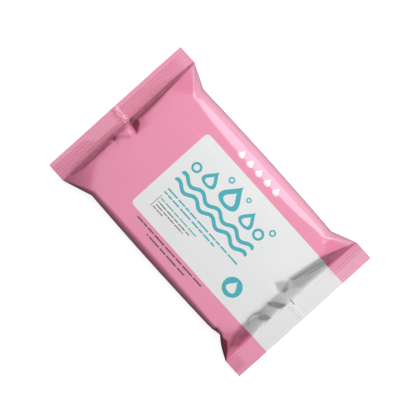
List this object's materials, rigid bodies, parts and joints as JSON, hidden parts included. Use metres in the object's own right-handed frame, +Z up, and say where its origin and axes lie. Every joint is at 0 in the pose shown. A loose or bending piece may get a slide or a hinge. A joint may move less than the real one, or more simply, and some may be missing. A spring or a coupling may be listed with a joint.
{
  "type": "wet wipes pack",
  "caption": "Sealed soft film pack of folded wet wipes, with ribbed crimp seals at both ends, a back seam and a flat resealable label with a pull tab on its front.",
  "frame": {"origin": "middle of the pack's back, on the table that it lies on", "axes": "+X along the pack, towards the label's pull tab; +Y across it; +Z up, out of the front"},
  "size_m": [0.1902, 0.1184, 0.025],
  "materials": {
    "pink_film": "satin",
    "clear_label": "gloss"
  },
  "bodies": {
    "root": {"wipes_pack": "pink_film", "reseal_label": "clear_label"}
  },
  "joints": []
}
